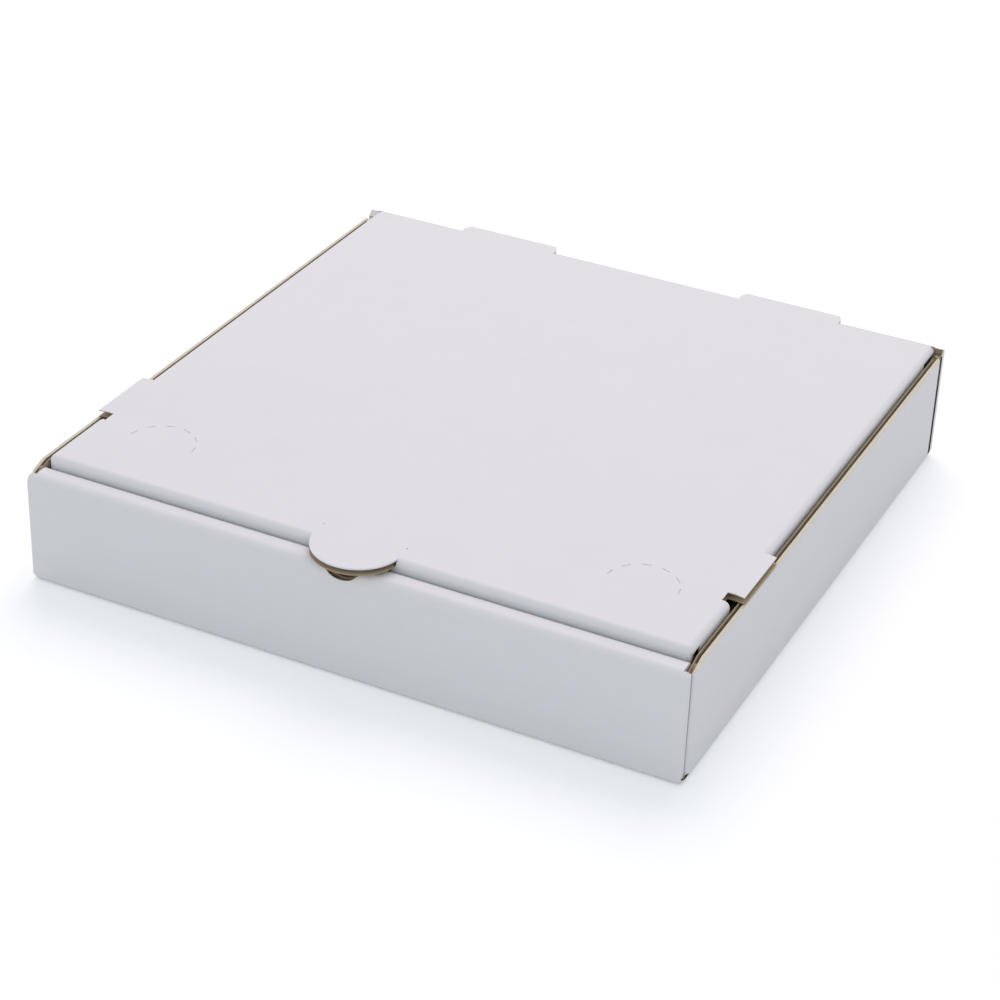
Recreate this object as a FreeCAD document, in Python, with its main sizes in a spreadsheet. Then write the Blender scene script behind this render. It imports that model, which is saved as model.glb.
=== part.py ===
import FreeCAD, Part
import os
from math import pi

# Pizza box folded from one sheet of corrugated board, closed.
# X is the width, Y the depth with the front at -Y, Z is up.
# The origin is the middle of the underside. All lengths are millimetres.

doc = FreeCAD.newDocument("pizza_box")
sheet = doc.addObject("Spreadsheet::Sheet", "Sizes")
V = FreeCAD.Vector


class Size:
    """A length together with the sheet expression that gives it."""

    def __init__(self, text, value):
        self.text = text
        self.value = value

    @staticmethod
    def of(other):
        return other if isinstance(other, Size) else Size(repr(float(other)), float(other))

    def __add__(self, other):
        other = Size.of(other)
        return Size(f"({self.text} + {other.text})", self.value + other.value)

    def __sub__(self, other):
        other = Size.of(other)
        return Size(f"({self.text} - {other.text})", self.value - other.value)

    def __mul__(self, factor):
        return Size(f"({self.text} * {factor})", self.value * factor)

    def __truediv__(self, factor):
        return Size(f"({self.text} / {factor})", self.value / factor)

    def __neg__(self):
        return Size(f"(0 - {self.text})", -self.value)

    __radd__ = __add__


def size(alias, value, note):
    """Write one driving dimension to the sheet and return it."""
    row = size.row
    size.row += 1
    sheet.set(f"A{row}", note)
    sheet.set(f"B{row}", str(value))
    sheet.setAlias(f"B{row}", alias)
    return Size(f"Sizes.{alias}", float(value))


size.row = 1

# Outside of the closed box
width = size("box_width", 260.0, "outside width over the side walls")
depth = size("box_depth", 256.0, "outside depth over the front and back walls")
wall_top = size("wall_top", 45.8, "height of the side walls' raw top edges")
board = size("board", 2.8, "thickness of the corrugated board")
fold_out = size("fold_outside", 2.4, "outside radius of a fold")
layer_gap = size("layer_gap", 0.25, "air between layers that lie on each other")
lid_gap = size("lid_gap", 0.2, "air between the lid and what it rests on")

# Roll-over front wall and the flaps inside it
flap_length = size("corner_flap_length", 38.0, "reach of a corner flap from its side wall")
flap_drop = size("corner_flap_drop", 1.6, "corner flap's top below the wall's top")
roll_drop = size("roll_drop", 1.0, "roll's top below the side walls' top edges")
roll_fold = size("roll_fold", 4.0, "outside radius of the fold over the front wall")
corner_cut = size("front_corner_cut", 1.0, "front wall's end below the roll's top")
corner_dip = size("corner_dip", 2.6, "side wall's front end below its top edge")
dip_run = size("corner_dip_run", 8.0, "length of the slope at the side wall's front end")
front_inset = size("front_inset", 0.8, "front wall's end inside the side wall's face")
inner_end = size("inner_end_gap", 0.8, "end of the roll and its inner panel to the side wall")
lock_width = size("lock_tab_width", 32.0, "width of a lock tab")
lock_place = size("lock_tab_place", 62.0, "lock tab's middle from the box's middle")
lock_rise = size("lock_tab_rise", 0.5, "lock tab's tip above the underside")
slot_gap = size("slot_gap", 0.3, "air round a lock tab in its slot")
notch_radius = size("thumb_notch_radius", 8.5, "radius of the thumb notch in the roll")
notch_reach = size("thumb_notch_reach", 4.2, "thumb notch below the roll's top")

# Lid
side_gap = size("lid_side_gap", 1.0, "air between the lid's side flap and the side wall")
tuck_gap = size("tuck_gap", 0.3, "air between the tuck flap's fold and the inner front panel")
tuck_drop = size("tuck_drop", 36.0, "reach of the front tuck flap below the lid's top")
tuck_lean = size("tuck_lean", 3.2, "how far the tuck flap leans back at its free edge")
tuck_taper = size("tuck_taper", 14.0, "tuck flap's free corners cut back")
dust_drop = size("dust_drop", 32.0, "reach of a side flap below the lid's top")
dust_front = size("dust_front", 6.5, "side flap's front end behind the tuck flap's face")
dust_rear = size("dust_rear", 11.0, "side flap's rear end before the back wall's face")
dust_taper = size("dust_taper", 16.0, "side flap's free corners cut back")
thumb_radius = size("thumb_radius", 17.0, "radius of the thumb tab")
thumb_reach = size("thumb_reach", 4.1, "thumb tab beyond the front face")
ear_length = size("ear_length", 29.3, "length of an ear along the wall")
ear_front = size("ear_front", 46.8, "ear's front edge behind the front face")
ear_short = size("ear_short", 0.6, "ear's tip inside the side wall's face")
ear_flare = size("ear_flare", 0.6, "ear's slope at its ends")
ear_relief = size("ear_relief", 7.0, "side flap's cut below the lid's top under an ear")
ear_gap = size("ear_gap", 5.5, "side flap's cut in front of an ear")
rear_tab_in = size("rear_tab_inner", 42.0, "rear tab's inner end from the middle")
rear_tab_out = size("rear_tab_outer", 85.5, "rear tab's outer end from the middle")
rear_tab_reach = size("rear_tab_reach", 4.5, "rear tab beyond the back face")
rear_tab_slope = size("rear_tab_slope", 1.5, "rear tab's slope at its ends")
rear_notch = size("rear_notch_drop", 1.9, "back wall's notch deeper than the tab's reach")
tab_gap = size("tab_gap", 0.35, "air at a rear tab's ends")
crease_gap = size("crease_gap", 0.2, "air along the rear crease, measured upright")

# Vent perforations, one arc of cuts near each front corner of the lid
vent_place = size("vent_place", 96.0, "vent arc's centre from the middle")
vent_front = size("vent_front", 36.5, "vent arc's centre behind the front face")
vent_radius = size("vent_radius", 13.0, "radius of a vent arc")
cut_length = size("vent_cut_length", 3.4, "length of one perforation cut")
cut_width = size("vent_cut_width", 0.4, "width of one perforation cut")
cut_depth = size("vent_cut_depth", 0.3, "depth of one perforation cut")
cut_count = 6
cut_sweep = 160.0

doc.recompute()

# Lines that both sheets' parts share
half = width / 2
front = -(depth / 2)
back = depth / 2
lid_under = wall_top + lid_gap
lid_top = lid_under + board
roll_top = wall_top - roll_drop
flap_front = front + board + layer_gap
flap_back = flap_front + board
inner_front = flap_back + layer_gap
inner_back = inner_front + board
rear_flap_back = back - board - layer_gap
rear_flap_front = rear_flap_back - board
wall_inside = half - board
lid_side = wall_inside - side_gap
tuck_face = inner_back + tuck_gap


def plane(body, role):
    """The body's own origin plane of that role."""
    return next(f for f in body.Origin.OriginFeatures if f.Role == role)


def attach(body, name, role):
    """An empty sketch on one of the body's origin planes."""
    sketch = body.newObject("Sketcher::SketchObject", name)
    sketch.AttachmentSupport = [(plane(body, role), "")]
    sketch.MapMode = "FlatFace"
    return sketch


def outline(body, name, role, points, arc=None):
    """A closed sketch tied to the sheet, its last side straight or a quarter arc."""
    import Sketcher

    sketch = attach(body, name, role)
    points = [(Size.of(a), Size.of(b)) for a, b in points]
    count = len(points)
    for i, (a, b) in enumerate(points):
        c, d = points[(i + 1) % count]
        if arc and i == count - 1:
            circle = Part.Circle(V(a.value, d.value, 0), V(0, 0, 1), arc.value)
            sketch.addGeometry(Part.ArcOfCircle(circle, pi / 2, pi), False)
            index = sketch.addConstraint(Sketcher.Constraint("Radius", i, arc.value))
            sketch.setExpression(f"Constraints[{index}]", arc.text)
            continue
        line = Part.LineSegment(V(a.value, b.value, 0), V(c.value, d.value, 0))
        sketch.addGeometry(line, False)
    for i in range(count):
        sketch.addConstraint(Sketcher.Constraint("Coincident", i, 2, (i + 1) % count, 1))
    for i, (a, b) in enumerate(points):
        for kind, where in (("DistanceX", a), ("DistanceY", b)):
            index = sketch.addConstraint(Sketcher.Constraint(kind, i, 1, where.value))
            sketch.setExpression(f"Constraints[{index}]", where.text)
    return sketch


def disc(body, name, role, middle, radius):
    """A sketch of one circle tied to the sheet."""
    import Sketcher

    sketch = attach(body, name, role)
    a, b = Size.of(middle[0]), Size.of(middle[1])
    sketch.addGeometry(Part.Circle(V(a.value, b.value, 0), V(0, 0, 1), radius.value), False)
    for kind, where in (("DistanceX", a), ("DistanceY", b)):
        index = sketch.addConstraint(Sketcher.Constraint(kind, 0, 3, where.value))
        sketch.setExpression(f"Constraints[{index}]", where.text)
    index = sketch.addConstraint(Sketcher.Constraint("Radius", 0, radius.value))
    sketch.setExpression(f"Constraints[{index}]", radius.text)
    return sketch


def lift(sketch, offset):
    """Move a sketch along its own normal."""
    sketch.setExpression(".AttachmentOffset.Base.z", Size.of(offset).text)


def pad(body, sketch, length, midplane=False):
    """Board added along the sketch's normal."""
    feature = body.newObject("PartDesign::Pad", sketch.Name + "_pad")
    feature.Profile = sketch
    feature.setExpression("Length", length.text)
    feature.Midplane = midplane
    doc.recompute()
    return feature


def cut(body, sketch, length, midplane=False):
    """Board taken away along the sketch's normal, checked by volume."""
    before = body.Tip.Shape.Volume
    feature = body.newObject("PartDesign::Pocket", sketch.Name + "_cut")
    feature.Profile = sketch
    feature.setExpression("Length", length.text)
    feature.Midplane = midplane
    feature.Reversed = not midplane
    doc.recompute()
    if feature.Shape.Volume > before - 0.01:
        raise ValueError(f"{sketch.Name} cuts nothing")
    return feature


def edges_on(shape, axis, places):
    """Names of the straight edges along an axis that lie on the given lines."""
    found = []
    others = [i for i in range(3) if i != axis]
    for number, edge in enumerate(shape.Edges, 1):
        start, end = edge.Vertexes[0].Point, edge.Vertexes[-1].Point
        if abs(edge.Length - abs(start[axis] - end[axis])) > 1e-6:
            continue
        for place in places:
            if all(abs(start[i] - Size.of(p).value) < 1e-4 for i, p in zip(others, place)):
                found.append(f"Edge{number}")
    return found


def round_edges(body, name, axis, places, radius):
    """Fillet every straight edge along an axis on the given lines."""
    base = body.Tip
    names = edges_on(base.Shape, axis, places)
    if not names:
        raise ValueError(f"{name} finds no edge")
    feature = body.newObject("PartDesign::Fillet", name)
    feature.Base = (base, names)
    feature.setExpression("Radius", radius.text)
    doc.recompute()
    return feature


def box_sketch(body, name, role, low, high):
    """A rectangle between two corners."""
    (a, b), (c, d) = low, high
    return outline(body, name, role, [(a, b), (c, b), (c, d), (a, d)])


def tray():
    """Base, walls, corner flaps and the roll-over front, one folded sheet."""
    body = doc.addObject("PartDesign::Body", "tray")
    body.Label = "tray"

    # Base with the lower half of its folds
    base = box_sketch(body, "tray_base", "XY_Plane", (-half, front), (half, back))
    pad(body, base, board)
    round_edges(body, "tray_base_folds", 0, [(front, 0), (back, 0)], fold_out)
    side_lines = [(half * side, 0) for side in (-1, 1)]
    round_edges(body, "tray_side_folds", 1, side_lines, fold_out)

    # Front wall, its top corners cut down from the roll to the ends
    inner_half = wall_inside - inner_end
    front_half = half - front_inset
    front_wall = outline(body, "tray_front", "XZ_Plane", [
        (-front_half, fold_out),
        (front_half, fold_out),
        (front_half, roll_top - corner_cut),
        (inner_half, roll_top),
        (-inner_half, roll_top),
        (-front_half, roll_top - corner_cut),
    ])
    lift(front_wall, -(front + board))
    pad(body, front_wall, board)

    # The roll's top strip fits between the side walls
    strip = box_sketch(
        body, "tray_roll", "YZ_Plane",
        (front + board / 2, roll_top - board), (inner_back, roll_top),
    )
    pad(body, strip, inner_half * 2, midplane=True)
    fold = outline(body, "tray_roll_fold", "YZ_Plane", [
        (front, roll_top - roll_fold),
        (front - board, roll_top - roll_fold),
        (front - board, roll_top + board),
        (front + roll_fold, roll_top + board),
        (front + roll_fold, roll_top),
    ], arc=roll_fold)
    cut(body, fold, width * 2, midplane=True)

    # Side walls stand between the front and back walls, their front ends sloping down
    for low, name in ((-half, "left"), (wall_inside, "right")):
        wall = outline(body, f"tray_side_{name}", "YZ_Plane", [
            (flap_front, fold_out),
            (rear_flap_back, fold_out),
            (rear_flap_back, wall_top),
            (flap_front + dip_run, wall_top),
            (flap_front, wall_top - corner_dip),
        ])
        lift(wall, low)
        pad(body, wall, board)

    # Corner flaps turn inwards from the side walls
    flap_top = wall_top - board - flap_drop
    flap_low = board + layer_gap
    for side, name in ((-1, "left"), (1, "right")):
        start = (wall_inside + board / 2) * side
        end = (wall_inside - flap_length) * side
        for low, high, where in (
            (flap_front, flap_back, "front"),
            (rear_flap_front, rear_flap_back, "rear"),
        ):
            flap = box_sketch(
                body, f"tray_flap_{where}_{name}", "XY_Plane", (start, low), (end, high),
            )
            lift(flap, flap_low)
            pad(body, flap, flap_top - flap_low)
    corner_lines = [(half * side, y) for side in (-1, 1) for y in (flap_front, rear_flap_back)]
    round_edges(body, "tray_corner_folds", 2, corner_lines, fold_out)

    # Back wall, full width
    back_wall = box_sketch(
        body, "tray_back", "YZ_Plane", (back - board, fold_out), (back, lid_top),
    )
    pad(body, back_wall, width, midplane=True)

    # Inner front panel hangs from the roll
    panel = box_sketch(
        body, "tray_inner_front", "YZ_Plane",
        (inner_front, board + layer_gap), (inner_back, roll_top - board / 2),
    )
    pad(body, panel, inner_half * 2, midplane=True)

    # Lock tabs of the inner panel stand in slots of the base
    for side, name in ((-1, "left"), (1, "right")):
        low = lock_place * side - lock_width / 2
        high = lock_place * side + lock_width / 2
        slot = box_sketch(
            body, f"tray_slot_{name}", "XY_Plane",
            (low - slot_gap, inner_front - slot_gap),
            (high + slot_gap, inner_back + slot_gap),
        )
        lift(slot, -board)
        cut(body, slot, board * 2)
        taper = lock_rise * 4
        tab = outline(body, f"tray_lock_{name}", "XZ_Plane", [
            (low, board * 2),
            (low, board - layer_gap),
            (low + taper, lock_rise),
            (high - taper, lock_rise),
            (high, board - layer_gap),
            (high, board * 2),
        ])
        lift(tab, -inner_back)
        pad(body, tab, board)

    # Folds at the roll's back and at the rear crease
    round_edges(body, "tray_roll_back_fold", 0, [(inner_back, roll_top)], fold_out)
    round_edges(body, "tray_rear_crease", 0, [(back, lid_top)], fold_out)

    # Mitre of the back wall below the rear crease
    mitre = outline(body, "tray_mitre", "YZ_Plane", [
        (back - board * 2, lid_top - board * 2 - crease_gap),
        (back + board, lid_top + board - crease_gap),
        (back + board, lid_top + board * 2),
        (back - board * 2, lid_top + board * 2),
    ])
    cut(body, mitre, width * 2, midplane=True)

    # Notches in the back wall that the rear tabs were cut from
    floor = lid_top - rear_tab_reach - rear_notch
    for side, name in ((-1, "left"), (1, "right")):
        notch = box_sketch(
            body, f"tray_rear_notch_{name}", "XZ_Plane",
            ((rear_tab_in - tab_gap) * side, floor),
            ((rear_tab_out + tab_gap) * side, lid_top + board),
        )
        lift(notch, -(back + board))
        cut(body, notch, board * 3)

    # Thumb notch across the roll
    bite = disc(
        body, "tray_thumb_notch", "XZ_Plane",
        (0, roll_top - notch_reach + notch_radius), notch_radius,
    )
    lift(bite, -(inner_back + board))
    cut(body, bite, inner_back + board * 2 - front)

    return body


def lid():
    """Top panel, tuck flap, side flaps and tabs, one folded sheet."""
    body = doc.addObject("PartDesign::Body", "lid")
    body.Label = "lid"

    # Top panel
    top = box_sketch(
        body, "lid_top", "XY_Plane",
        (-lid_side, tuck_face), (lid_side, back),
    )
    lift(top, lid_under)
    pad(body, top, board)

    # Tuck flap leans back so that it swings clear of the roll
    tuck = outline(body, "lid_tuck", "YZ_Plane", [
        (tuck_face, lid_top),
        (tuck_face, lid_top - fold_out),
        (tuck_face + tuck_lean, lid_top - tuck_drop),
        (tuck_face + tuck_lean + board, lid_top - tuck_drop),
        (tuck_face + board, lid_top - fold_out),
        (tuck_face + board, lid_top),
    ])
    pad(body, tuck, lid_side * 2, midplane=True)

    # Side flaps hang just inside the side walls
    dust_start = tuck_face + dust_front
    dust_end = back - board - dust_rear
    for side, name in ((-1, "left"), (1, "right")):
        flap = outline(body, f"lid_side_{name}", "YZ_Plane", [
            (dust_start, lid_top),
            (dust_start, lid_top - dust_drop / 2),
            (dust_start + dust_taper, lid_top - dust_drop),
            (dust_end - dust_taper, lid_top - dust_drop),
            (dust_end, lid_top - dust_drop / 2),
            (dust_end, lid_top),
        ])
        lift(flap, lid_side - board if side > 0 else -lid_side)
        pad(body, flap, board)

    # Folds of the top panel
    round_edges(body, "lid_front_fold", 0, [(tuck_face, lid_top)], fold_out)
    round_edges(body, "lid_rear_crease", 0, [(back, lid_top)], fold_out)
    side_lines = [(lid_side * side, lid_top) for side in (-1, 1)]
    round_edges(body, "lid_side_folds", 1, side_lines, fold_out)

    # Tuck flap's ends and free corners
    tuck_low = lid_top - tuck_drop
    for side, name in ((-1, "left"), (1, "right")):
        corner = outline(body, f"lid_tuck_corner_{name}", "XZ_Plane", [
            ((lid_side + board) * side, lid_under),
            ((lid_side - layer_gap * 2) * side, lid_under),
            ((lid_side - layer_gap * 2) * side, lid_under - board),
            ((lid_side - tuck_taper) * side, tuck_low - board),
            ((lid_side + board) * side, tuck_low - board),
        ])
        lift(corner, -(dust_start - layer_gap))
        cut(body, corner, dust_front + board)

    # The tuck flap is cut where the thumb tab came from it
    thumb_y = front - thumb_reach + thumb_radius
    thumb_drop = tuck_face - front + thumb_reach
    gap_disc = disc(
        body, "lid_thumb_gap", "XZ_Plane",
        (0, lid_top - thumb_drop + thumb_radius), thumb_radius,
    )
    lift(gap_disc, -(tuck_face + tuck_lean + board * 2))
    cut(body, gap_disc, tuck_lean + board * 4)

    # The side flaps are cut where the ears came from them
    ear_start = front + ear_front
    ear_end = ear_start + ear_length
    for side, name in ((-1, "left"), (1, "right")):
        gap = box_sketch(
            body, f"lid_ear_gap_{name}", "YZ_Plane",
            (ear_start - ear_gap, lid_top - ear_relief), (ear_end, lid_top + board),
        )
        inside = lid_side - board - layer_gap
        lift(gap, inside if side > 0 else -(inside + board * 2))
        cut(body, gap, board * 2)

    # Ears rest on the side walls' raw edges
    for side, name in ((-1, "left"), (1, "right")):
        root = (lid_side - board * 2) * side
        tip = (half - ear_short) * side
        ear = outline(body, f"lid_ear_{name}", "XY_Plane", [
            (root, ear_start),
            (lid_side * side, ear_start),
            (tip, ear_start - ear_flare),
            (tip, ear_end - ear_flare),
            (lid_side * side, ear_end),
            (root, ear_end),
        ])
        lift(ear, lid_under)
        pad(body, ear, board)

    # Thumb tab lies over the roll
    thumb = disc(body, "lid_thumb", "XY_Plane", (0, thumb_y), thumb_radius)
    lift(thumb, lid_under)
    pad(body, thumb, board)

    # Mitre of the top panel at the rear crease
    mitre = outline(body, "lid_mitre", "YZ_Plane", [
        (back - board * 2, lid_top - board * 2),
        (back + board, lid_top - board * 2),
        (back + board, lid_top + board),
    ])
    cut(body, mitre, width * 2, midplane=True)

    # Rear tabs run straight on past the crease
    for side, name in ((-1, "left"), (1, "right")):
        root = back - board * 2
        tip = back + rear_tab_reach
        tab = outline(body, f"lid_rear_tab_{name}", "XY_Plane", [
            (rear_tab_in * side, root),
            (rear_tab_out * side, root),
            (rear_tab_out * side, tip - rear_tab_slope * 2),
            ((rear_tab_out - rear_tab_slope) * side, tip),
            ((rear_tab_in + rear_tab_slope) * side, tip),
            (rear_tab_in * side, tip - rear_tab_slope * 2),
        ])
        lift(tab, lid_under)
        pad(body, tab, board)

    # Vent perforations, an arc of short cuts into the top panel
    for side, name in ((-1, "left"), (1, "right")):
        slot = box_sketch(
            body, f"lid_vent_{name}", "XY_Plane",
            (-(cut_length / 2), vent_radius - cut_width / 2),
            (cut_length / 2, vent_radius + cut_width / 2),
        )
        turn = FreeCAD.Rotation(V(0, 0, 1), -cut_sweep / 2)
        slot.AttachmentOffset = FreeCAD.Placement(V(0, 0, 0), turn)
        slot.setExpression(".AttachmentOffset.Base.x", (vent_place * side).text)
        slot.setExpression(".AttachmentOffset.Base.y", (front + vent_front).text)
        lift(slot, lid_top - cut_depth)
        first = cut(body, slot, board)
        arc = body.newObject("PartDesign::PolarPattern", f"lid_vent_arc_{name}")
        arc.Originals = [first]
        arc.Axis = (slot, ["N_Axis"])
        arc.Angle = cut_sweep
        arc.Occurrences = cut_count
        body.Tip = arc
        doc.recompute()

    return body


def main():
    bodies = [tray(), lid()]
    doc.recompute()
    for item in doc.Objects:
        if "Invalid" in item.State or "Error" in item.State:
            raise ValueError(f"{item.Name} failed")
    for body in bodies:
        shape = body.Shape
        if shape.isNull() or not shape.isValid() or len(shape.Solids) != 1:
            raise ValueError(f"{body.Label} is not one valid solid")
    os.makedirs("parts", exist_ok=True)
    for body in bodies:
        body.Shape.exportStep(f"parts/{body.Label}.step")
        box = body.Shape.BoundBox
        print(body.Label, round(body.Shape.Volume), box)


main()
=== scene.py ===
from math import atan2, cos, pi, radians, sin
from types import SimpleNamespace

import bpy
from mathutils import Matrix, Vector


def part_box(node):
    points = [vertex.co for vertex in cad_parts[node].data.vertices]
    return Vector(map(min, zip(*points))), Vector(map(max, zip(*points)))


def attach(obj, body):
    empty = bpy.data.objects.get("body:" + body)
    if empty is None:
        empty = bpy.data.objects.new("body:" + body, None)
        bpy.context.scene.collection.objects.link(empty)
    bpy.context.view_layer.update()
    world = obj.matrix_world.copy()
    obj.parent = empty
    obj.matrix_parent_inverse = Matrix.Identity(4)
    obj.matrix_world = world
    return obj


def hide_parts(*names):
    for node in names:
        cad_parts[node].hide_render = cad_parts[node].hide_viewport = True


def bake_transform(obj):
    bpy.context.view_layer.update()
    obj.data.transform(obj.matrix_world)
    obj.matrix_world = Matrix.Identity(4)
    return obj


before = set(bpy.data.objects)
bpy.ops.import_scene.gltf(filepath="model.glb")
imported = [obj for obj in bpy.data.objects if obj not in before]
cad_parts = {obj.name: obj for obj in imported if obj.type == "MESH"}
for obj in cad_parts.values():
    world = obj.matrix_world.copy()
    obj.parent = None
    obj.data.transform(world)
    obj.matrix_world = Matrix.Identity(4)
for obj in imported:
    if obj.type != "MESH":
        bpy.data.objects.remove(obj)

bl_info = {
    "name": "Pizza box",
    "version": (1, 1, 0),
    "blender": (4, 5, 0),
    "location": "View3D > Sidebar > Pizza Box",
    "description": "Folded pizza box of white corrugated board, with its stage",
    "category": "Object",
}

MM = 0.001
# Faces this near a line belong to it
NEAR = 0.04 * MM
# Corners this near each other in the CAD mesh are one
MERGE = 0.002 * MM
# Air between the medium and the liners
MEDIUM_AIR = 0.02 * MM
CREST_AIR = 0.03 * MM
# Sharpest turn that still shades as one round
LINER_ROUND = radians(35)
FLUTE_ROUND = radians(40)
FLUTE_STEPS = 12
TRAY_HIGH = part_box("tray")[1]
LID_LOW, LID_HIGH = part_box("lid")


# Sizes and colours that a user would change


def length(name, text, value):
    """A length property in metres."""
    return bpy.props.FloatProperty(
        name=name, description=text, default=value, precision=5, subtype="DISTANCE", unit="LENGTH"
    )


def angle(name, text, value):
    """An angle property, given in degrees."""
    return bpy.props.FloatProperty(
        name=name, description=text, default=radians(value), subtype="ANGLE", unit="ROTATION"
    )


def power(name, text, value):
    """A lamp's power in watts."""
    return bpy.props.FloatProperty(
        name=name, description=text, default=value, min=0.0, unit="POWER"
    )


def hex_colour(name, text, value):
    """An sRGB hex colour kept as text."""
    return bpy.props.StringProperty(name=name, description=text, default=value)


class BoardSizes(bpy.types.PropertyGroup):
    board: length("Board", "Thickness of the corrugated board", 2.8 * MM)
    liner: length("Liner", "Thickness of one liner", 0.4 * MM)
    medium: length("Medium", "Thickness of the fluted medium", 0.3 * MM)
    pitch: length("Pitch", "Distance from flute to flute", 6.4 * MM)
    fold: length("Fold", "Outside radius of a fold", 2.4 * MM)
    roll_fold: length("Roll fold", "Outside radius of the front wall's soft fold", 4.0 * MM)
    layer_gap: length("Layer gap", "Air between layers that lie on each other", 0.25 * MM)
    lid_top: length("Lid top", "Height of the closed lid's top", LID_HIGH[2])
    wall_top: length("Wall top", "Height of the side walls' raw edges", 45.8 * MM)
    roll_top: length("Roll top", "Height of the rolled front wall", 44.8 * MM)
    half_width: length("Half width", "Side wall's outer face from the middle", TRAY_HIGH[0])
    roll_end: length("Roll end", "End of the rolled front from the middle", 126.4 * MM)
    half_depth: length("Half depth", "Front wall's outer face from the middle", TRAY_HIGH[1])
    lid_side: length("Lid side", "Side flap's outer face from the middle", 126.2 * MM)
    tuck_gap: length("Tuck gap", "Air between the tuck flap and the inner panel", 0.3 * MM)
    tuck_foot: length("Tuck foot", "Height of the tuck flap's raw end", LID_LOW[2])
    tuck_lean: length("Tuck lean", "How far the tuck flap's end stands back", 3.2 * MM)
    thumb: length("Thumb tab", "Half width of the thumb tab with its cut", 17.2 * MM)
    rolled: length("Rolled liner", "Reach of the liner rolled over the thumb tab's edge", 0.6 * MM)
    crushed: length(
        "Crushed rim", "Width of the liner pressed over a side wall's raw top", 1.2 * MM
    )
    vent_cut: length("Vent cut", "Depth of the vent cuts in the lid", 0.3 * MM)
    tab_inner: length("Rear tab inner", "Rear tab's inner end from the middle", 42.0 * MM)
    tab_outer: length("Rear tab outer", "Rear tab's outer end from the middle", 85.5 * MM)
    tab_gap: length("Rear tab gap", "Air at a rear tab's ends", 0.35 * MM)


class BoardColours(bpy.types.PropertyGroup):
    white: hex_colour("White liner", "Coated outer liner", "#E3E2E6")
    kraft: hex_colour("Kraft liner", "Inner liner", "#BCAA92")
    medium: hex_colour("Medium", "Fluted medium", "#A08F7A")
    cut: hex_colour("Cut edge", "Cut edge of the liners", "#DAD1BE")


class StageSettings(bpy.types.PropertyGroup):
    azimuth: angle("Azimuth", "Camera's turn about the box", 25.6)
    elevation: angle("Elevation", "Camera's height over the floor", 30.87)
    roll: angle("Roll", "Camera's roll", 2.185)
    place: bpy.props.FloatVectorProperty(
        name="Camera place", description="Camera's place in metres",
        default=(0.372129, -0.780779, 0.522855), precision=6, subtype="TRANSLATION",
    )
    lens: bpy.props.FloatProperty(
        name="Lens", description="Focal length in millimetres", default=93.986,
        subtype="DISTANCE_CAMERA",
    )
    key: power("Key lamp", "Power of the soft box over the box's back", 18.9)
    fill: power("Fill lamp", "Power of the soft box in front", 2.1)
    sky: bpy.props.FloatProperty(
        name="Sky", description="Strength of the light all round", default=0.697
    )
    key_tint: hex_colour("Key tint", "Tint of the soft box over the box's back", "#FFE9EB")
    fill_tint: hex_colour("Fill tint", "Tint of the soft box in front", "#E7FFED")
    sky_tint: hex_colour("Sky tint", "Tint of the light all round", "#F5FBFF")
    floor: hex_colour("Floor", "Colour of the floor", "#F4F5F6")


def sizes():
    """The board's sizes in this scene."""
    return bpy.context.scene.pizza_box_sizes


def colours():
    """The papers' colours in this scene."""
    return bpy.context.scene.pizza_box_colours


# Materials


def linear(text):
    """A linear colour from an sRGB hex value."""
    channels = [int(text[i:i + 2], 16) / 255 for i in (1, 3, 5)]
    return (*(c / 12.92 if c <= 0.04045 else ((c + 0.055) / 1.055) ** 2.4 for c in channels), 1.0)


def add_node(tree, kind, links=None, values=None, **settings):
    """Add a node with its settings, the values of its free sockets and its links."""
    node = tree.nodes.new(kind)
    for name, value in settings.items():
        setattr(node, name, value)
    for socket, value in (values or {}).items():
        node.inputs[socket].default_value = value
    for socket, source in (links or {}).items():
        tree.links.new(source, node.inputs[socket])
    return node


def new_material(name):
    """An empty node material."""
    material = bpy.data.materials.new(name)
    material.use_nodes = True
    material.node_tree.nodes.clear()
    return material, material.node_tree


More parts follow.
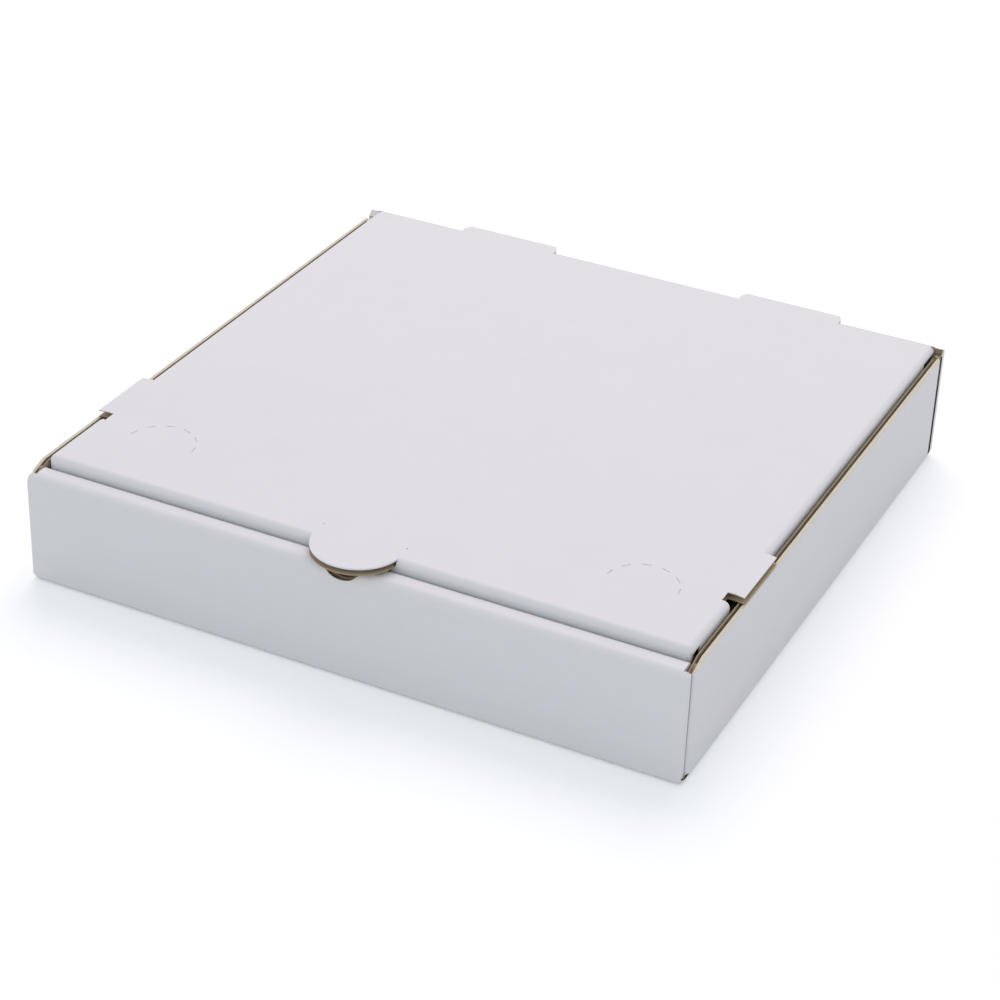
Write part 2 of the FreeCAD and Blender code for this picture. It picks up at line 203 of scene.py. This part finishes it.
def paper(name, colour, fibre, mottle, roughness, fibre_depth, ripple=0.0, wear_and_highlight_colour=None):
    """Paper: felted fibres over a faint cloud of denser and thinner pulp."""
    material, tree = new_material(name)
    place = add_node(tree, "ShaderNodeTexCoord").outputs["Object"]
    # Cloudy formation of the pulp, some 14 mm across
    cloud = add_node(
        tree, "ShaderNodeTexNoise", {"Vector": place}, {"Scale": 1 / (14 * MM), "Detail": 3.0}
    )
    # Fibres lie along the paper machine's run, drawn 1 mm wide so that they show
    stretch = add_node(
        tree, "ShaderNodeMapping", {"Vector": place}, {"Scale": (0.35, 1.0, 1.0)}
    )
    fibres = add_node(
        tree, "ShaderNodeTexNoise", {"Vector": stretch.outputs["Vector"]},
        {"Scale": 1 / (1.1 * MM), "Detail": 4.0, "Roughness": 0.62},
    )
    tone = add_node(
        tree, "ShaderNodeMix", {2: cloud.outputs["Fac"], 3: fibres.outputs["Fac"]},
        {0: fibre}, data_type="FLOAT",
    )
    shade = add_node(
        tree, "ShaderNodeMapRange", {"Value": tone.outputs[0]},
        {"From Min": 0.3, "From Max": 0.7, "To Min": 1 - mottle, "To Max": 1 + mottle},
    )
    paint = add_node(
        tree, "ShaderNodeVectorMath", {"Scale": shade.outputs["Result"]},
        {0: linear(colour)[:3]}, operation="SCALE",
    ).outputs["Vector"]
    # Beige band at the side walls' tops: worn coating with a painted highlight of the crushed rim
    if wear_and_highlight_colour:
        paint = rim_wear_and_highlight(tree, place, fibres.outputs["Fac"], paint, wear_and_highlight_colour)
    felt = add_node(
        tree, "ShaderNodeBump", {"Height": fibres.outputs["Fac"]},
        {"Strength": 0.5, "Distance": fibre_depth * MM},
    ).outputs["Normal"]
    if ripple:
        felt = flute_ripple(tree, place, felt, ripple)
    shader = add_node(
        tree, "ShaderNodeBsdfPrincipled", {"Base Color": paint, "Normal": felt},
        {"Roughness": roughness},
    )
    add_node(tree, "ShaderNodeOutputMaterial", {"Surface": shader.outputs["BSDF"]})
    return material


# The beige rim band, worn coating with a painted highlight of the crushed rim: how far down it
# reaches, how far in, and its share at the very edge
RIM_BAND_DROP = 1.5 * MM
RIM_BAND_DEPTH = 0.3 * MM
RIM_BAND_MOST = 0.7


def rim_wear_and_highlight(tree, place, grain, paint, colour):
    """A beige band down the side walls' outer faces from their tops: raw fibres where the die
    crushed the coating, with a painted highlight where the crushed rim rounds over into the top
    light.
    """
    s = sizes()
    split = add_node(tree, "ShaderNodeSeparateXYZ", {"Vector": place})
    rise = add_node(
        tree, "ShaderNodeMapRange", {"Value": split.outputs["Z"]},
        {
            "From Min": s.wall_top - RIM_BAND_DROP, "From Max": s.wall_top,
            "To Min": 0.0, "To Max": RIM_BAND_MOST,
        },
        interpolation_type="SMOOTHSTEP",
    )
    side = add_node(tree, "ShaderNodeMath", {0: split.outputs["X"]}, operation="ABSOLUTE")
    on_wall = add_node(
        tree, "ShaderNodeMath", {0: side.outputs[0]}, {1: s.half_width - RIM_BAND_DEPTH},
        operation="GREATER_THAN",
    )
    amount = add_node(
        tree, "ShaderNodeMath", {0: rise.outputs["Result"], 1: on_wall.outputs[0]},
        operation="MULTIPLY",
    )
    patchy = add_node(
        tree, "ShaderNodeMapRange", {"Value": grain},
        {"From Min": 0.3, "From Max": 0.6, "To Min": 0.5, "To Max": 1.0},
    )
    amount = add_node(
        tree, "ShaderNodeMath", {0: amount.outputs[0], 1: patchy.outputs["Result"]},
        operation="MULTIPLY",
    )
    mix = add_node(
        tree, "ShaderNodeMix", {0: amount.outputs[0], 6: paint}, {7: linear(colour)},
        data_type="RGBA",
    )
    return mix.outputs[2]


def flute_ripple(tree, place, normal, depth):
    """Washboard of the flutes that prints through the liner, one pitch from crest to crest."""
    s = sizes()
    split = add_node(tree, "ShaderNodeSeparateXYZ", {"Vector": place})
    crests = []
    for axis in ("Y", "Z"):
        wave = add_node(
            tree, "ShaderNodeMath", {0: split.outputs[axis]}, {1: 2 * pi / s.pitch},
            operation="MULTIPLY",
        )
        crests.append(add_node(tree, "ShaderNodeMath", {0: wave.outputs[0]}, operation="SINE"))
    # The flutes of the side walls stand upright, so no crest crosses them
    side = add_node(tree, "ShaderNodeMath", {0: split.outputs["X"]}, operation="ABSOLUTE")
    between = add_node(
        tree, "ShaderNodeMath", {0: side.outputs[0]}, {1: s.lid_side - s.board - NEAR},
        operation="LESS_THAN",
    )
    level = add_node(
        tree, "ShaderNodeMath", {0: crests[1].outputs[0], 1: between.outputs[0]},
        operation="MULTIPLY",
    )
    height = add_node(
        tree, "ShaderNodeMath", {0: crests[0].outputs[0], 1: level.outputs[0]}, operation="ADD"
    )
    ripple = add_node(
        tree, "ShaderNodeBump", {"Height": height.outputs[0], "Normal": normal},
        {"Strength": 1.0, "Distance": depth * MM},
    )
    return ripple.outputs["Normal"]


MATERIAL_NAMES = ("white_coated_liner", "brown_kraft_liner", "recycled_fluting", "die_cut_edge")


def materials():
    """The papers of the board, made once."""
    if MATERIAL_NAMES[0] not in bpy.data.materials:
        c = colours()
        # Coated liner, calendered: an even white with a soft satin, the flutes' faint washboard,
        # and the beige rim band of worn coating and painted highlight
        paper(
            MATERIAL_NAMES[0], c.white, fibre=0.5, mottle=0.012, roughness=0.5, fibre_depth=0.012,
            ripple=0.01, wear_and_highlight_colour=c.cut,
        )
        # Kraft liner, machine finished: warm brown with visible long fibres
        paper(
            MATERIAL_NAMES[1], c.kraft, fibre=0.55, mottle=0.10, roughness=0.78, fibre_depth=0.02,
            ripple=0.012,
        )
        # Fluted medium of recycled pulp: darker and rougher brown
        paper(MATERIAL_NAMES[2], c.medium, fibre=0.6, mottle=0.13, roughness=0.9, fibre_depth=0.02)
        # Die-cut edge of a liner: pale torn fibres
        paper(MATERIAL_NAMES[3], c.cut, fibre=0.7, mottle=0.10, roughness=0.85, fibre_depth=0.02)
    return [bpy.data.materials[name] for name in MATERIAL_NAMES]


# Modelling tools


def only(*chosen):
    """Select these objects and nothing else."""
    if bpy.context.mode != "OBJECT":
        bpy.ops.object.mode_set(mode="OBJECT")
    bpy.ops.object.select_all(action="DESELECT")
    for obj in chosen:
        obj.select_set(True)
    if chosen:
        bpy.context.view_layer.objects.active = chosen[-1]


def edit_all(obj):
    """Enter edit mode with the whole mesh selected."""
    only(obj)
    bpy.ops.object.mode_set(mode="EDIT")
    bpy.ops.mesh.select_all(action="SELECT")


def name_piece(obj, name):
    """Name an object and its mesh."""
    obj.name = name
    obj.data.name = name


def use(obj, modifier_type, name, **settings):
    """Add a modifier, set it and apply it."""
    only(obj)
    modifier = obj.modifiers.new(name, modifier_type)
    for key, value in settings.items():
        setattr(modifier, key, value)
    bpy.ops.object.modifier_apply(modifier=name)


def sheet_copy(node, name):
    """A merged copy of a CAD node's mesh, as an object of its own."""
    only(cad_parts[node])
    bpy.ops.object.duplicate()
    obj = bpy.context.object
    obj.parent = None
    name_piece(obj, name)
    for key in list(obj.keys()):
        del obj[key]
    obj.data.materials.clear()
    bpy.ops.mesh.customdata_custom_splitnormals_clear()
    edit_all(obj)
    bpy.ops.mesh.remove_doubles(threshold=MERGE)
    bpy.ops.object.mode_set(mode="OBJECT")
    return obj


def give_liner(obj, papers, rounded):
    """Thicken a skin inwards by a liner and give it its papers: face, back and cut edge."""
    for material in papers:
        obj.data.materials.append(material)
    use(
        obj, "SOLIDIFY", "liner", thickness=sizes().liner, offset=-1.0, use_even_offset=True,
        material_offset=1, material_offset_rim=2,
    )
    only(obj)
    if rounded:
        bpy.ops.object.shade_smooth_by_angle(angle=LINER_ROUND)
        use(obj, "WEIGHTED_NORMAL", "flat_panels", mode="FACE_AREA", keep_sharp=True)
    else:
        bpy.ops.object.shade_flat()


def edit_faces(obj, wanted):
    """Enter edit mode with only the wanted faces selected."""
    only(obj)
    bpy.ops.object.mode_set(mode="EDIT")
    bpy.ops.mesh.select_mode(type="FACE")
    bpy.ops.mesh.select_all(action="DESELECT")
    bpy.ops.object.mode_set(mode="OBJECT")
    for face in obj.data.polygons:
        face.select = wanted(face)
    bpy.ops.object.mode_set(mode="EDIT")


def liner_skin(node, name, on_side, papers, slices=(), rounded=True):
    """One liner: the sheet's faces on one side, sliced where it ends, and thickened inwards."""
    obj = sheet_copy(node, name)
    for place, across, wanted in slices:
        edit_faces(obj, wanted)
        bpy.ops.mesh.bisect(plane_co=place, plane_no=across, threshold=0.001 * MM)
        bpy.ops.object.mode_set(mode="OBJECT")
    edit_faces(obj, lambda face: not on_side(face))
    bpy.ops.mesh.delete(type="FACE")
    bpy.ops.object.mode_set(mode="OBJECT")
    give_liner(obj, papers, rounded)
    return obj


def sheet_core(node, name):
    """The room between the liners: the sheet with its whole skin moved inwards."""
    obj = sheet_copy(node, name)
    skin = [vertex.co.copy() for vertex in obj.data.vertices]
    inset = sizes().liner + MEDIUM_AIR
    edit_all(obj)
    bpy.ops.transform.shrink_fatten(value=-inset, use_even_offset=True)
    bpy.ops.object.mode_set(mode="OBJECT")
    for vertex, start in zip(obj.data.vertices, skin):
        move = vertex.co - start
        if move.length > 2 * inset:
            vertex.co = start + move.normalized() * 2 * inset
    return obj


def draw_profile(name, low, high, run_axis, points):
    """A ribbon along one axis: a plane laid between two points and extruded through the rest."""
    only()
    bpy.ops.mesh.primitive_plane_add(size=1.0, location=(0, 0, 0))
    obj = bpy.context.object
    name_piece(obj, name)
    ends = [(low, 0), (high, 0), (low, 1), (high, 1)]
    for vertex, (along, step) in zip(obj.data.vertices, ends):
        vertex.co = points[step]
        vertex.co[run_axis] = along
    bpy.ops.object.mode_set(mode="EDIT")
    bpy.ops.mesh.select_mode(type="EDGE")
    bpy.ops.mesh.select_all(action="DESELECT")
    bpy.ops.object.mode_set(mode="OBJECT")
    next(edge for edge in obj.data.edges if set(edge.vertices) == {2, 3}).select = True
    bpy.ops.object.mode_set(mode="EDIT")
    for start, end in zip(points[1:], points[2:]):
        bpy.ops.mesh.extrude_region_move(TRANSFORM_OT_translate={"value": end - start})
    bpy.ops.object.mode_set(mode="OBJECT")
    return obj


def flute_sheet(name, low, high, normal_axis, wave_axis, lean=0.0):
    """A corrugated panel between two corners: one flute is drawn, arrayed and thickened."""
    s = sizes()
    run_axis = 3 - normal_axis - wave_axis
    half_rise = (s.board - 2 * s.liner - s.medium) / 2 - CREST_AIR
    points = []
    for step in range(FLUTE_STEPS + 1):
        point = Vector((0, 0, 0))
        point[wave_axis] = low[wave_axis] + step * s.pitch / FLUTE_STEPS
        point[normal_axis] = (low[normal_axis] + high[normal_axis]) / 2
        point[normal_axis] += half_rise * sin(2 * pi * step / FLUTE_STEPS)
        points.append(point)
    obj = draw_profile(name, low[run_axis], high[run_axis], run_axis, points)
    use(
        obj, "ARRAY", "flutes", count=int((high[wave_axis] - low[wave_axis]) / s.pitch) + 1,
        use_relative_offset=False, use_constant_offset=True,
        constant_offset_displace=points[-1] - points[0], use_merge_vertices=True,
        merge_threshold=0.01 * MM,
    )
    use(obj, "SOLIDIFY", "medium", thickness=s.medium, offset=0.0, use_even_offset=True)
    if lean:
        edit_all(obj)
        pivot = (0, low[normal_axis], s.lid_top - s.fold)
        bpy.ops.transform.rotate(value=-lean, orient_axis="X", center_override=pivot)
        bpy.ops.object.mode_set(mode="OBJECT")
    return obj


def fluting(node, name, panels, paper_used):
    """The medium of every panel of a sheet, cut to the room between the liners."""
    core = sheet_core(node, name + "_core")
    pieces = []
    for number, panel in enumerate(panels):
        piece = flute_sheet(f"{name}_{number}", *panel)
        use(piece, "BOOLEAN", "trim", operation="INTERSECT", object=core, solver="EXACT")
        pieces.append(piece)
    bpy.data.objects.remove(core)
    only(*pieces)
    bpy.ops.object.join()
    obj = bpy.context.object
    name_piece(obj, name)
    obj.data.materials.clear()
    obj.data.materials.append(paper_used)
    for face in obj.data.polygons:
        face.material_index = 0
    bpy.ops.object.shade_smooth_by_angle(angle=FLUTE_ROUND)
    return obj


# Which side of the sheet a face belongs to


def lines():
    """Lines of the tray and lid that come from the sizes."""
    s = sizes()
    front, back = -s.half_depth, s.half_depth
    flap_front = front + s.board + s.layer_gap
    inner_front = flap_front + s.board + s.layer_gap
    inner_back = inner_front + s.board
    rear_flap_back = back - s.board - s.layer_gap
    return SimpleNamespace(
        front=front,
        back=back,
        flap_front=flap_front,
        flap_back=flap_front + s.board,
        inner_front=inner_front,
        inner_back=inner_back,
        rear_flap_back=rear_flap_back,
        rear_flap_front=rear_flap_back - s.board,
        wall_inside=s.half_width - s.board,
        lid_under=s.lid_top - s.board,
        tuck=inner_back + s.tuck_gap,
    )


def flat(face, axis, value, sign):
    """True for a face of a panel: square to an axis, at one value on it, facing one way."""
    return face.normal[axis] * sign > 0.9999 and abs(face.center[axis] - value) < NEAR


def round_fold(face, axis, middle, radius):
    """True for a face of a fold's round, whose line runs along an axis through a point."""
    radial = face.center - Vector(middle)
    radial[axis] = 0
    on_round = abs(radial.length - radius) < 0.1 * MM and abs(face.normal[axis]) < 0.01
    return on_round and face.normal.dot(radial) > 0.95 * radial.length


def mitred(face, sign):
    """True for a face of the slanting gap along the rear crease."""
    on_slant = face.normal.y * sign > 0.7 and face.normal.z * sign < -0.7
    return on_slant and face.center.y > lines().rear_flap_front


def rear_mitre(face):
    """True for the tray's face of that gap."""
    return mitred(face, -1)


def rear_crease(face):
    """True on the round of the rear crease."""
    s = sizes()
    return round_fold(face, 0, (0, lines().back - s.fold, s.lid_top - s.fold), s.fold)


def wall_rim(face):
    """True on a side wall's raw top edge."""
    s = sizes()
    centre = face.center
    raised = face.normal.z > 0.9 and centre.z > s.wall_top / 2
    on_side = abs(centre.x) > s.half_width - s.board
    return raised and on_side and -s.half_depth + s.board < centre.y < lines().rear_flap_back


def tray_outside(face):
    """True on the tray's white side."""
    s, at = sizes(), lines()
    centre = face.center
    panels = (
        (2, 0, -1), (2, s.roll_top, 1), (1, at.front, -1), (1, at.back, 1), (1, at.inner_back, 1),
        (1, at.flap_front, -1), (1, at.rear_flap_back, 1),
    )
    if any(flat(face, *panel) for panel in panels) or rear_crease(face):
        return True
    if any(flat(face, 0, side * s.half_width, side) for side in (-1, 1)):
        return True
    # The die rolls the white liner over the ends of the front wall, its roll and the back wall
    facing_out = face.normal.x * (1 if centre.x > 0 else -1)
    if facing_out > 0.2 and centre.y < at.inner_back and abs(centre.x) > s.roll_end - NEAR:
        return True
    if facing_out > 0.2 and centre.y > at.rear_flap_back and centre.z < s.wall_top:
        return True
    if wall_rim(face):
        return abs(centre.x) > s.half_width - s.crushed
    # The base's rounded corners
    if face.normal.z < -0.05 and centre.z < s.fold + NEAR:
        return True
    # The crease's left end keeps its white liner, beyond the lid
    if mitred(face, -1) and centre.x < -s.lid_side:
        return True
    side, end = (-1 if centre.x < 0 else 1), (-1 if centre.y < 0 else 1)
    corner_x, corner_y = side * (s.half_width - s.fold), end * (at.rear_flap_back - s.fold)
    folds = (
        (0, (0, end * (at.back - s.fold), s.fold), s.fold),
        (1, (corner_x, 0, s.fold), s.fold),
        (2, (corner_x, corner_y, 0), s.fold),
        (0, (0, at.front + s.roll_fold, s.roll_top - s.roll_fold), s.roll_fold),
        (0, (0, at.inner_back - s.fold, s.roll_top - s.fold), s.fold),
    )
    return any(round_fold(face, *fold) for fold in folds)


def tray_inside(face):
    """True on the tray's brown side."""
    s, at = sizes(), lines()
    panels = (
        (2, s.board, 1), (2, s.roll_top - s.board, -1), (0, at.wall_inside, -1),
        (0, -at.wall_inside, 1), (1, at.front + s.board, 1), (1, at.flap_back, 1),
        (1, at.back - s.board, -1), (1, at.inner_front, -1), (1, at.rear_flap_front, -1),
    )
    return any(flat(face, *panel) for panel in panels) or (
        mitred(face, -1) and abs(face.center.x) < s.lid_side
    )


def thumb_edge(face):
    """True on the thumb tab's cut edge."""
    s, at = sizes(), lines()
    centre = face.center
    upright = abs(face.normal.z) < 0.3 and centre.z > at.lid_under
    return upright and abs(centre.x) < s.thumb and centre.y < at.tuck + s.fold


def lid_outside(face):
    """True on the lid's white side, with the walls and floors of its vent cuts."""
    s, at = sizes(), lines()
    centre, normal = face.center, face.normal
    panels = (
        (2, s.lid_top, 1), (2, s.lid_top - s.vent_cut, 1),
        (0, s.lid_side, 1), (0, -s.lid_side, -1),
    )
    if any(flat(face, *panel) for panel in panels) or rear_crease(face):
        return True
    if abs(normal.z) < 0.01 and centre.z > s.lid_top - s.vent_cut:
        return True
    if normal.z > 0.3 and centre.z > s.lid_top - s.vent_cut:
        return True
    # The die rolls the liner over the upper part of the thumb tab's edge
    # and round the front corners
    if thumb_edge(face) and centre.z > s.lid_top - s.rolled:
        return True
    if centre.y < at.tuck + s.tuck_lean + s.board and abs(centre.x) > s.lid_side - s.fold:
        return abs(normal.x) > 0.05 and normal.x * centre.x > 0
    if normal.y < -0.99 and normal.z < -0.05:
        return centre.y < at.tuck + s.tuck_lean + NEAR
    side = -1 if centre.x < 0 else 1
    folds = (
        (0, (0, at.tuck + s.fold, s.lid_top - s.fold), s.fold),
        (1, (side * (s.lid_side - s.fold), 0, s.lid_top - s.fold), s.fold),
    )
    return any(round_fold(face, *fold) for fold in folds)


def lid_inside(face):
    """True on the lid's brown side."""
    s, at = sizes(), lines()
    inner = s.lid_side - s.board
    panels = ((2, at.lid_under, -1), (0, inner, -1), (0, -inner, 1))
    # The front fold stands a hair proud of the leaning tuck flap, and that ledge stays raw
    if face.center.y < at.tuck + 0.1 * MM and abs(face.center.x) > s.thumb:
        return False
    if any(flat(face, *panel) for panel in panels) or mitred(face, 1):
        return True
    return face.normal.y > 0.99 and face.center.y < at.tuck + s.tuck_lean + s.board + NEAR


# The pieces


def finish_board(body, pieces):
    """Let the layers of one sheet ride on its body, in place of its plain solid."""
    for piece in pieces:
        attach(piece, body)
        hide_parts(body)


class PIZZABOX_OT_tray(bpy.types.Operator):
    """Build the tray's two liners and its fluted medium"""

    bl_idname = "pizza_box.tray"
    bl_label = "Tray"

    def execute(self, context):
        s, at = sizes(), lines()
        white, kraft, medium, cut = materials()
        across = (1, 0, 0)
        slices = [((side * s.lid_side, 0, 0), across, rear_mitre) for side in (-1, 1)]
        rim = [((side * (s.half_width - s.crushed), 0, 0), across, wall_rim) for side in (-1, 1)]
        outer = liner_skin(
            "tray", "tray_white_liner", tray_outside, (white, kraft, cut), slices + rim
        )
        for face in outer.data.polygons:
            if wall_rim(face):
                face.material_index = 2
        inner = liner_skin(
            "tray", "tray_kraft_liner", tray_inside, (kraft, kraft, medium), slices, rounded=False
        )
        x, board = s.half_width, s.board
        panels = [
            ((-x, at.front, 0), (x, at.back, board), 2, 1),
            ((-x, at.front, 0), (x, at.front + board, s.roll_top), 1, 2),
            ((-x, at.back - board, 0), (x, at.back, s.lid_top), 1, 2),
            ((-x, at.front, s.roll_top - board), (x, at.inner_back, s.roll_top), 2, 1),
            ((-x, at.inner_front, 0), (x, at.inner_back, s.roll_top), 1, 2),
        ]
        for side in (-1, 1):
            low, high = sorted((side * x, side * at.wall_inside))
            panels.append(((low, at.flap_front, 0), (high, at.rear_flap_back, s.wall_top), 0, 1))
            low, high = sorted((side * x, side * x * 0.6))
            flaps = (at.flap_front, at.flap_back), (at.rear_flap_front, at.rear_flap_back)
            for near, far in flaps:
                panels.append(((low, near, 0), (high, far, s.wall_top), 1, 0))
        finish_board("tray", (outer, inner, fluting("tray", "tray_fluting", panels, medium)))
        return {"FINISHED"}


class PIZZABOX_OT_lid(bpy.types.Operator):
    """Build the lid's two liners and its fluted medium"""

    bl_idname = "pizza_box.lid"
    bl_label = "Lid"

    def execute(self, context):
        s, at = sizes(), lines()
        white, kraft, medium, cut = materials()
        slices = [((0, 0, s.lid_top - s.rolled), (0, 0, 1), thumb_edge)]
        outer = liner_skin("lid", "lid_white_liner", lid_outside, (white, kraft, cut), slices)
        inner = liner_skin(
            "lid", "lid_kraft_liner", lid_inside, (kraft, kraft, medium), rounded=False
        )
        low, high, board = LID_LOW, LID_HIGH, s.board
        lean = atan2(s.tuck_lean, s.lid_top - s.fold - s.tuck_foot)
        panels = [
            ((low[0], low[1], at.lid_under), (high[0], high[1], s.lid_top), 2, 1),
            ((low[0], at.tuck, low[2] - board), (high[0], at.tuck + board, s.lid_top), 1, 2, lean),
        ]
        for side in (-1, 1):
            inside, outside = sorted((side * s.lid_side, side * (s.lid_side - board)))
            panels.append(((inside, at.tuck, low[2]), (outside, at.back, s.lid_top), 0, 1))
        finish_board("lid", (outer, inner, fluting("lid", "lid_fluting", panels, medium)))
        return {"FINISHED"}


# The crease's strip stands this far over the fold, and turns this far about it
STRIP_PROUD = 0.1 * MM
STRIP_TURNS = [radians(degree) for degree in range(33, 60, 4)]


class PIZZABOX_OT_crease(bpy.types.Operator):
    """Bridge the rear crease with strips of liner"""

    bl_idname = "pizza_box.crease"
    bl_label = "Rear crease"

    def execute(self, context):
        s, at = sizes(), lines()
        white, kraft, _, cut = materials()
        middle = Vector((0, at.back - s.fold, s.lid_top - s.fold))
        arc = [
            middle + (s.fold + STRIP_PROUD) * Vector((0, sin(turn), cos(turn)))
            for turn in STRIP_TURNS
        ]
        ends = {
            "left": (-s.lid_side, -s.tab_outer - s.tab_gap),
            "middle": (-s.tab_inner + s.tab_gap, s.tab_inner - s.tab_gap),
            "right": (s.tab_outer + s.tab_gap, s.lid_side),
        }
        for place, (low, high) in ends.items():
            strip = draw_profile(f"crease_liner_{place}", low, high, 0, arc)
            give_liner(strip, (white, kraft, cut), rounded=True)
            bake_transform(strip)
        return {"FINISHED"}


# The floor's side, and the glow that lifts it to white for the camera
FLOOR_SIZE = 6.0
FLOOR_LIFT = 0.22
# The camera's sensor in millimetres, and the nearest distance that it sees
SENSOR = 36.0
NEAREST = 0.01
# The soft boxes' places and sides
KEY_PLACE, KEY_SIZE = (-0.4, 1.2, 2.0), 1.6
FILL_PLACE, FILL_SIZE = (-0.4, -2.0, 1.0), 1.4


class PIZZABOX_OT_stage(bpy.types.Operator):
    """Set the floor, the soft studio light and the camera"""

    bl_idname = "pizza_box.stage"
    bl_label = "Stage"

    def execute(self, context):
        scene = context.scene
        stage = scene.pizza_box_stage
        only()
        bpy.ops.mesh.primitive_plane_add(size=FLOOR_SIZE, location=(0, 0, 0))
        floor = context.object
        name_piece(floor, "floor")
        floor.data.materials.append(floor_paint(stage.floor))
        set_sky(scene, stage)
        soft_lamp("key_lamp", KEY_PLACE, KEY_SIZE, stage.key, stage.key_tint)
        soft_lamp("fill_lamp", FILL_PLACE, FILL_SIZE, stage.fill, stage.fill_tint)
        set_camera(scene, stage)
        scene.view_settings.view_transform = "Standard"
        return {"FINISHED"}


def set_sky(scene, stage):
    """Soft light from all round, seen as plain white."""
    scene.world = bpy.data.worlds.new("studio")
    scene.world.use_nodes = True
    tree = scene.world.node_tree
    tree.nodes.clear()
    path = add_node(tree, "ShaderNodeLightPath")
    seen = path.outputs["Is Camera Ray"]
    for ray in ("Is Glossy Ray", "Is Transmission Ray"):
        seen = add_node(
            tree, "ShaderNodeMath", {0: seen, 1: path.outputs[ray]}, operation="MAXIMUM"
        ).outputs[0]
    tinted = {"Color": linear(stage.sky_tint), "Strength": stage.sky}
    soft = add_node(tree, "ShaderNodeBackground", values=tinted)
    plain = {"Color": linear("#FFFFFF"), "Strength": 1.0}
    white = add_node(tree, "ShaderNodeBackground", values=plain)
    mix = add_node(
        tree, "ShaderNodeMixShader", {0: seen, 1: soft.outputs[0], 2: white.outputs[0]}
    )
    add_node(tree, "ShaderNodeOutputWorld", {"Surface": mix.outputs[0]})


def set_camera(scene, stage):
    """The camera at the photograph's place and angle."""
    camera = bpy.data.objects.new("camera", bpy.data.cameras.new("camera"))
    scene.collection.objects.link(camera)
    camera.data.sensor_width = SENSOR
    camera.data.lens = stage.lens
    camera.data.clip_start = NEAREST
    turn = (
        Matrix.Rotation(stage.azimuth, 4, "Z")
        @ Matrix.Rotation(pi / 2 - stage.elevation, 4, "X")
        @ Matrix.Rotation(stage.roll, 4, "Z")
    )
    camera.matrix_world = Matrix.Translation(stage.place) @ turn
    scene.camera = camera


def floor_paint(colour):
    """Painted studio floor: matt near-white, lifted to white for the camera."""
    material, tree = new_material("matt_floor_paint")
    place = add_node(tree, "ShaderNodeTexCoord").outputs["Object"]
    grain = add_node(
        tree, "ShaderNodeTexNoise", {"Vector": place}, {"Scale": 1 / (40 * MM), "Detail": 3.0}
    )
    bump = add_node(
        tree, "ShaderNodeBump", {"Height": grain.outputs["Fac"]},
        {"Strength": 0.1, "Distance": 0.1 * MM},
    )
    paint = add_node(
        tree, "ShaderNodeBsdfPrincipled", {"Normal": bump.outputs["Normal"]},
        {"Base Color": linear(colour), "Roughness": 0.9},
    )
    path = add_node(tree, "ShaderNodeLightPath")
    lift = add_node(
        tree, "ShaderNodeMath", {0: path.outputs["Is Camera Ray"]}, {1: FLOOR_LIFT},
        operation="MULTIPLY",
    )
    glow = add_node(
        tree, "ShaderNodeEmission", {"Strength": lift.outputs[0]}, {"Color": linear("#FFFFFF")}
    )
    both = add_node(tree, "ShaderNodeAddShader", {0: paint.outputs[0], 1: glow.outputs[0]})
    add_node(tree, "ShaderNodeOutputMaterial", {"Surface": both.outputs[0]})
    return material


def soft_lamp(name, place, size, watts, tint):
    """A square soft box that faces the box."""
    lamp = bpy.data.lights.new(name, "AREA")
    lamp.size = size
    lamp.energy = watts
    lamp.color = linear(tint)[:3]
    obj = bpy.data.objects.new(name, lamp)
    bpy.context.scene.collection.objects.link(obj)
    obj.location = place
    obj.rotation_euler = Vector(place).to_track_quat("Z", "Y").to_euler()
    return obj


class PIZZABOX_PT_panel(bpy.types.Panel):
    """Pieces of the box and its stage"""

    bl_label = "Pizza box"
    bl_idname = "PIZZABOX_PT_panel"
    bl_space_type = "VIEW_3D"
    bl_region_type = "UI"
    bl_category = "Pizza Box"

    def draw(self, context):
        layout = self.layout
        scene = context.scene
        for group in (scene.pizza_box_sizes, scene.pizza_box_colours, scene.pizza_box_stage):
            for name in group.bl_rna.properties.keys():
                if name not in ("rna_type", "name"):
                    layout.prop(group, name)
        for operator in OPERATORS:
            layout.operator(operator.bl_idname)


OPERATORS = (PIZZABOX_OT_stage, PIZZABOX_OT_tray, PIZZABOX_OT_lid, PIZZABOX_OT_crease)
GROUPS = {
    "pizza_box_sizes": BoardSizes,
    "pizza_box_colours": BoardColours,
    "pizza_box_stage": StageSettings,
}


def register():
    for cls in (*GROUPS.values(), *OPERATORS, PIZZABOX_PT_panel):
        bpy.utils.register_class(cls)
    for name, group in GROUPS.items():
        setattr(bpy.types.Scene, name, bpy.props.PointerProperty(type=group))


def unregister():
    for name in GROUPS:
        delattr(bpy.types.Scene, name)
    for cls in (PIZZABOX_PT_panel, *reversed(OPERATORS), *reversed(list(GROUPS.values()))):
        bpy.utils.unregister_class(cls)


def main():
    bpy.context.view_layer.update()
    register()
    bpy.ops.pizza_box.stage()
    bpy.ops.pizza_box.tray()
    bpy.ops.pizza_box.lid()
    bpy.ops.pizza_box.crease()


if __name__ == "__main__":
    main()
